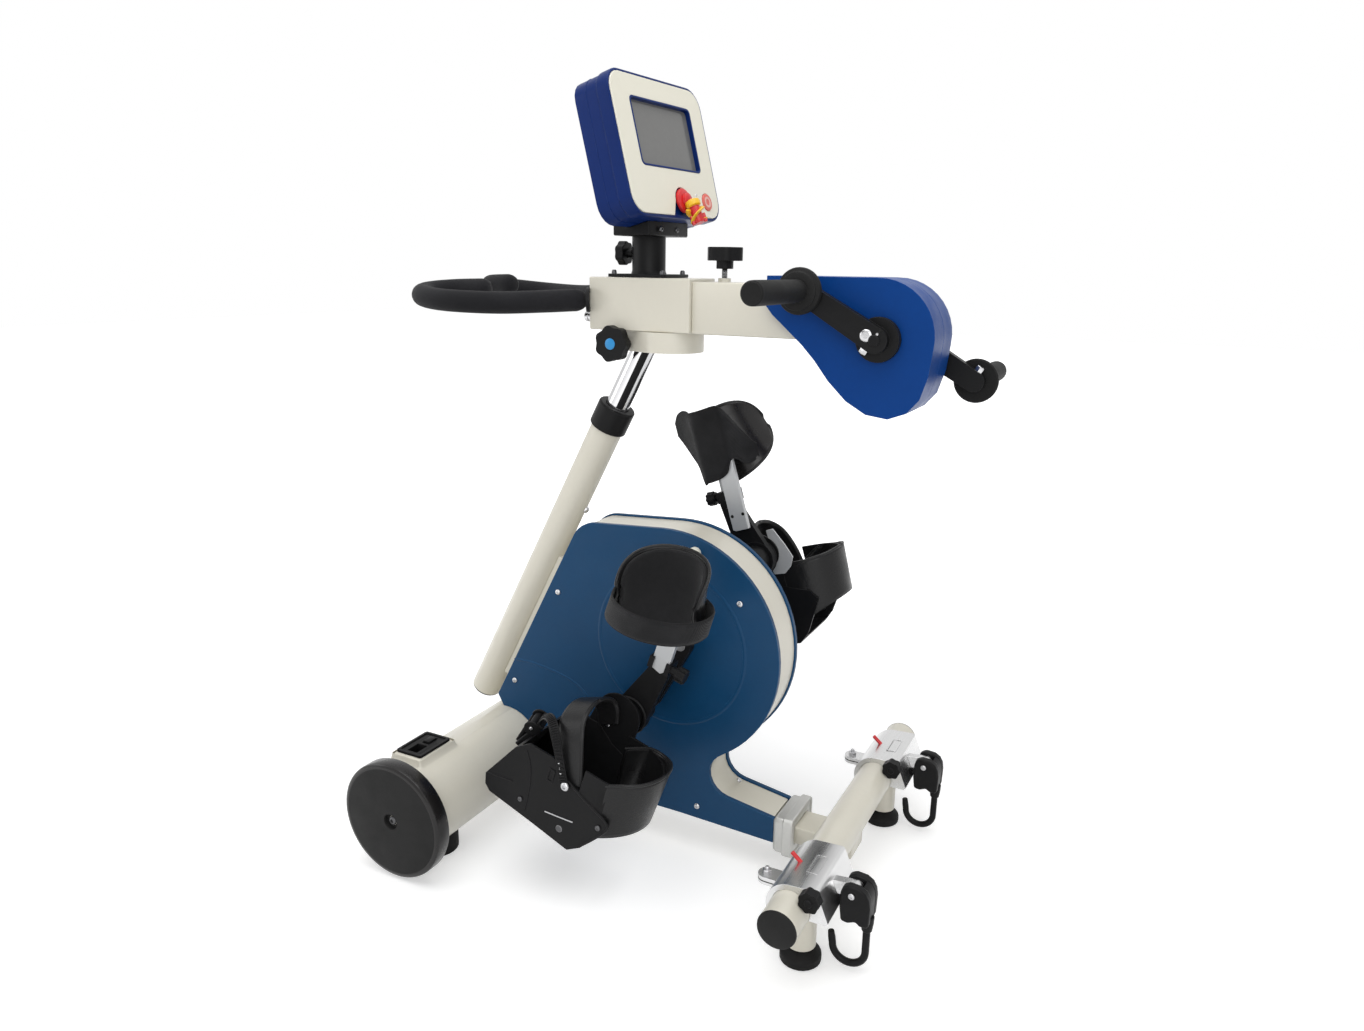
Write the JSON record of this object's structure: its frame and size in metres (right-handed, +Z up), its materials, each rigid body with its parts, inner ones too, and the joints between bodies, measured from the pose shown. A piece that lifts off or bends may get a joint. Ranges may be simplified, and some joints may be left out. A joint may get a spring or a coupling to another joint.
{
  "type": "active passive trainer",
  "caption": "Motorised leg and arm cycling trainer with foot shells, calf supports, hand cranks, a tilted console and wheelchair clamps.",
  "frame": {"origin": "on the floor under the middle of the trainer's bounding box", "axes": "+X towards the seated user, who faces -X; +Y to the user's right; +Z up"},
  "size_m": [0.9264, 0.705, 1.2579],
  "materials": {
    "aluminium": "polished",
    "black_foam": "closed-cell foam",
    "black_plastic": "lightly textured moulded plastic",
    "black_rubber": "plain rubber",
    "blue_cover": "smooth moulded plastic",
    "blue_housing": "smooth moulded plastic",
    "cast_grey": "cast and painted",
    "chrome": "mirror plated",
    "cream_face": "satin moulded plastic",
    "cream_paint": "satin cream powder coat",
    "gloss_black": "polished rim",
    "key_yellow": "smooth",
    "navy_case": "fine moulded plastic",
    "screen_glass": "smooth display window, switched off",
    "steel": "machined",
    "stop_red": "smooth"
  },
  "bodies": {
    "base": {"rear_base_tube": "cream_paint", "rear_foot_left": "black_rubber", "rear_foot_right": "black_rubber", "power_inlet": "black_plastic", "column_tube": "cream_paint", "column_collar": "black_plastic", "main_frame": "cream_paint", "casing_cover_left": "blue_cover", "casing_cover_right": "blue_cover", "leg_gearmotor": "steel", "leg_belt": "black_rubber", "front_collar": "cast_grey", "front_tube": "cream_paint"},
    "power_switch": {"power_switch": "black_plastic"},
    "leg_crank": {"leg_shaft": "steel", "leg_crank_left": "black_plastic", "leg_crank_right": "black_plastic"},
    "motor_pulley": {"motor_pulley": "steel"},
    "mast": {"chrome_post": "chrome", "swivel_casting": "cream_paint"},
    "swivel_knob": {"swivel_knob": "black_plastic"},
    "head": {"head_box": "cream_paint", "handle_foam_left": "black_foam", "handle_foam_right": "black_foam", "console_post": "black_plastic"},
    "arm_unit": {"arm_beam": "cream_paint", "arm_housing_left": "blue_housing", "arm_housing_right": "blue_housing", "arm_gearmotor": "steel"},
    "extension_knob": {"extension_knob": "black_plastic"},
    "arm_crank": {"arm_crank_left": "black_plastic", "arm_crank_right": "black_plastic"},
    "console_knob": {"console_knob": "black_plastic"},
    "console": {"console_bracket": "black_plastic", "console_case": "navy_case", "console_face": "cream_face", "console_screen": "screen_glass"},
    "start_button": {"start_button": "stop_red"},
    "stop_button": {"stop_button": "stop_red"},
    "stop_key": {"stop_key": "key_yellow"},
    "wheel_left": {"transport_wheel_left": "gloss_black"},
    "wheel_right": {"transport_wheel_right": "gloss_black"},
    "levelling_foot_left": {"levelling_foot_left": "black_rubber"},
    "levelling_foot_right": {"levelling_foot_right": "black_rubber"},
    "foot_left": {"foot_shell_left": "black_plastic"},
    "calf_bracket_left": {"calf_bracket_left": "black_plastic"},
    "calf_left": {"calf_bar_left": "aluminium", "calf_shell_left": "black_plastic"},
    "foot_right": {"foot_shell_right": "black_plastic"},
    "calf_bracket_right": {"calf_bracket_right": "black_plastic"},
    "calf_right": {"calf_bar_right": "aluminium", "calf_shell_right": "black_plastic"},
    "chair_clamp_left": {"chair_clamp_left": "aluminium"},
    "clamp_knob_left": {"clamp_knob_left": "black_plastic"},
    "chair_hook_left": {"chair_hook_left": "black_plastic"},
    "chair_clamp_right": {"chair_clamp_right": "aluminium"},
    "clamp_knob_right": {"clamp_knob_right": "black_plastic"},
    "chair_hook_right": {"chair_hook_right": "black_plastic"},
    "hand_grip_left": {"hand_grip_left": "black_rubber"},
    "hand_grip_right": {"hand_grip_right": "black_rubber"}
  },
  "joints": [
    {"name": "wheel_left_spin", "type": "hinge", "parent": "base", "child": "wheel_left", "pos_m": [-0.35131, -0.338, 0.105], "axis": [0, 1, 0], "continuous": true},
    {"name": "wheel_right_spin", "type": "hinge", "parent": "base", "child": "wheel_right", "pos_m": [-0.35131, 0.338, 0.105], "axis": [0, 1, 0], "continuous": true},
    {"name": "power_switch_rock", "type": "hinge", "parent": "base", "child": "power_switch", "pos_m": [-0.36631, -0.23405, 0.1893], "axis": [1, 0, 0], "range_deg": [-8, 8]},
    {"name": "levelling_foot_left_screw", "type": "hinge", "parent": "base", "child": "levelling_foot_left", "pos_m": [0.30769, -0.212, 0], "axis": [0, 0, 1], "continuous": true},
    {"name": "levelling_foot_right_screw", "type": "hinge", "parent": "base", "child": "levelling_foot_right", "pos_m": [0.30769, 0.212, 0], "axis": [0, 0, 1], "continuous": true},
    {"name": "leg_crank_turn", "type": "hinge", "parent": "base", "child": "leg_crank", "pos_m": [0.02369, 0, 0.384], "axis": [0, 1, 0], "continuous": true},
    {"name": "motor_pulley_turn", "type": "hinge", "parent": "base", "child": "motor_pulley", "pos_m": [-0.15131, -0.021, 0.3], "axis": [0, 1, 0], "continuous": true},
    {"name": "foot_left_pivot", "type": "hinge", "parent": "leg_crank", "child": "foot_left", "pos_m": [-0.03116, -0.12, 0.27727], "axis": [0, 1, 0], "continuous": true},
    {"name": "calf_left_swing", "type": "hinge", "parent": "foot_left", "child": "calf_bracket_left", "pos_m": [-0.03116, -0.126, 0.27727], "axis": [0, 1, 0], "range_deg": [-12, 12]},
    {"name": "calf_left_height", "type": "slide", "parent": "calf_bracket_left", "child": "calf_left", "axis": [0.309, 0, 0.9511], "range_m": [-0.06, 0.02]},
    {"name": "foot_right_pivot", "type": "hinge", "parent": "leg_crank", "child": "foot_right", "pos_m": [0.07854, 0.12, 0.49073], "axis": [0, 1, 0], "continuous": true},
    {"name": "calf_right_swing", "type": "hinge", "parent": "foot_right", "child": "calf_bracket_right", "pos_m": [0.07854, 0.126, 0.49073], "axis": [0, 1, 0], "range_deg": [-12, 12]},
    {"name": "calf_right_height", "type": "slide", "parent": "calf_bracket_right", "child": "calf_right", "axis": [-0.2924, 0, 0.9563], "range_m": [-0.012, 0.04]},
    {"name": "chair_clamp_left_shift", "type": "slide", "parent": "base", "child": "chair_clamp_left", "axis": [0, 1, 0], "range_m": [-0.03, 0.03]},
    {"name": "clamp_knob_left_turn", "type": "hinge", "parent": "chair_clamp_left", "child": "clamp_knob_left", "pos_m": [0.34019, -0.275, 0.15], "axis": [0, 1, 0], "continuous": true},
    {"name": "chair_hook_left_swing", "type": "hinge", "parent": "chair_clamp_left", "child": "chair_hook_left", "pos_m": [0.38269, -0.205, 0.138], "axis": [0, 1, 0], "range_deg": [-70, 4]},
    {"name": "chair_clamp_right_shift", "type": "slide", "parent": "base", "child": "chair_clamp_right", "axis": [0, 1, 0], "range_m": [-0.03, 0.03]},
    {"name": "clamp_knob_right_turn", "type": "hinge", "parent": "chair_clamp_right", "child": "clamp_knob_right", "pos_m": [0.34019, 0.135, 0.15], "axis": [0, 1, 0], "continuous": true},
    {"name": "chair_hook_right_swing", "type": "hinge", "parent": "chair_clamp_right", "child": "chair_hook_right", "pos_m": [0.38269, 0.205, 0.138], "axis": [0, 1, 0], "range_deg": [-70, 4]},
    {"name": "mast_height", "type": "slide", "parent": "base", "child": "mast", "axis": [0.4633, 0, 0.8862], "range_m": [-0.07, 0.1]},
    {"name": "swivel_knob_turn", "type": "hinge", "parent": "mast", "child": "swivel_knob", "pos_m": [-0.10531, -0.06, 0.866], "axis": [0, 1, 0], "continuous": true},
    {"name": "head_swivel", "type": "hinge", "parent": "mast", "child": "head", "pos_m": [-0.03081, 0, 0.88], "axis": [0, 0, 1], "range_deg": [-100, 0]},
    {"name": "arm_reach", "type": "slide", "parent": "head", "child": "arm_unit", "axis": [1, 0, 0], "range_m": [0, 0.08]},
    {"name": "extension_knob_turn", "type": "hinge", "parent": "arm_unit", "child": "extension_knob", "pos_m": [0.05969, 0, 1], "axis": [0, 0, 1], "continuous": true},
    {"name": "arm_crank_turn", "type": "hinge", "parent": "arm_unit", "child": "arm_crank", "pos_m": [0.32269, 0, 0.892], "axis": [0, 1, 0], "continuous": true},
    {"name": "hand_grip_left_spin", "type": "hinge", "parent": "arm_crank", "child": "hand_grip_left", "pos_m": [0.21357, -0.17, 0.955], "axis": [0, 1, 0], "continuous": true},
    {"name": "hand_grip_right_spin", "type": "hinge", "parent": "arm_crank", "child": "hand_grip_right", "pos_m": [0.43181, 0.17, 0.829], "axis": [0, 1, 0], "continuous": true},
    {"name": "console_knob_turn", "type": "hinge", "parent": "head", "child": "console_knob", "pos_m": [-0.07281, 0, 1.005], "axis": [1, 0, 0], "continuous": true},
    {"name": "console_turn", "type": "hinge", "parent": "head", "child": "console", "pos_m": [-0.07281, 0, 1.03], "axis": [0, 0, 1], "range_deg": [-60, 60]},
    {"name": "start_button_press", "type": "slide", "parent": "console", "child": "start_button", "axis": [-0.9631, 0.0893, -0.2538], "range_m": [0, 0.0015], "stiffness_N_per_m": 120},
    {"name": "stop_button_press", "type": "slide", "parent": "console", "child": "stop_button", "axis": [-0.9631, 0.0893, -0.2538], "range_m": [0, 0.003], "stiffness_N_per_m": 60},
    {"name": "stop_key_turn", "type": "hinge", "parent": "stop_button", "child": "stop_key", "pos_m": [-0.01765, 0.00894, 1.08345], "axis": [0.9631, -0.0893, 0.2538], "range_deg": [-45, 45]}
  ],
  "couplings": [
    {"joint": "motor_pulley_turn", "follows": "leg_crank_turn", "ratio": 4.4444},
    {"joint": "foot_left_pivot", "follows": "leg_crank_turn", "ratio": -1},
    {"joint": "foot_right_pivot", "follows": "leg_crank_turn", "ratio": -1}
  ]
}
